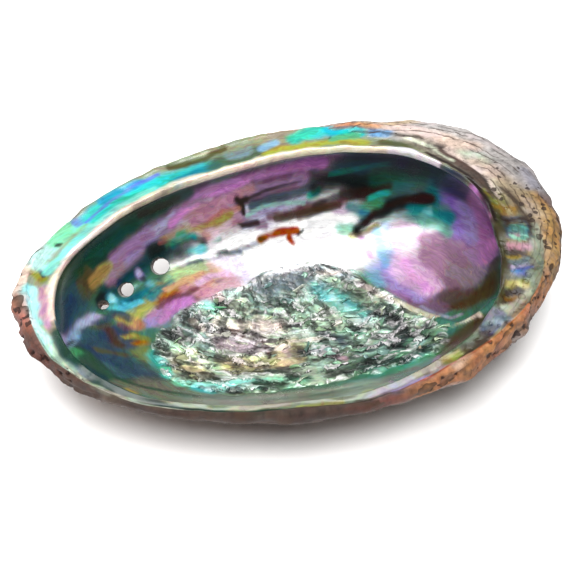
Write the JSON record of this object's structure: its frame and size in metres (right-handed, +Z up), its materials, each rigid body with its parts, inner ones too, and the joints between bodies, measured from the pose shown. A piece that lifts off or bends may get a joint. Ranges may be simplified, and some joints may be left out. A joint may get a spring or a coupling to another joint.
{
  "type": "abalone shell",
  "caption": "Natural abalone shell lying on its back as a shallow oval dish, with an iridescent hollow, a wide inner lip, a rough muscle patch and breathing pores along one side.",
  "frame": {"origin": "centre of the bounding box in plan, at the level of the worn flat that the shell rests on", "axes": "+X towards the spire end, along the shell's length; +Y towards the side with the pore row; +Z up out of the hollow"},
  "size_m": [0.1632, 0.123, 0.0427],
  "materials": {
    "shell": "satin"
  },
  "bodies": {
    "root": {"shell": "shell"}
  },
  "joints": []
}
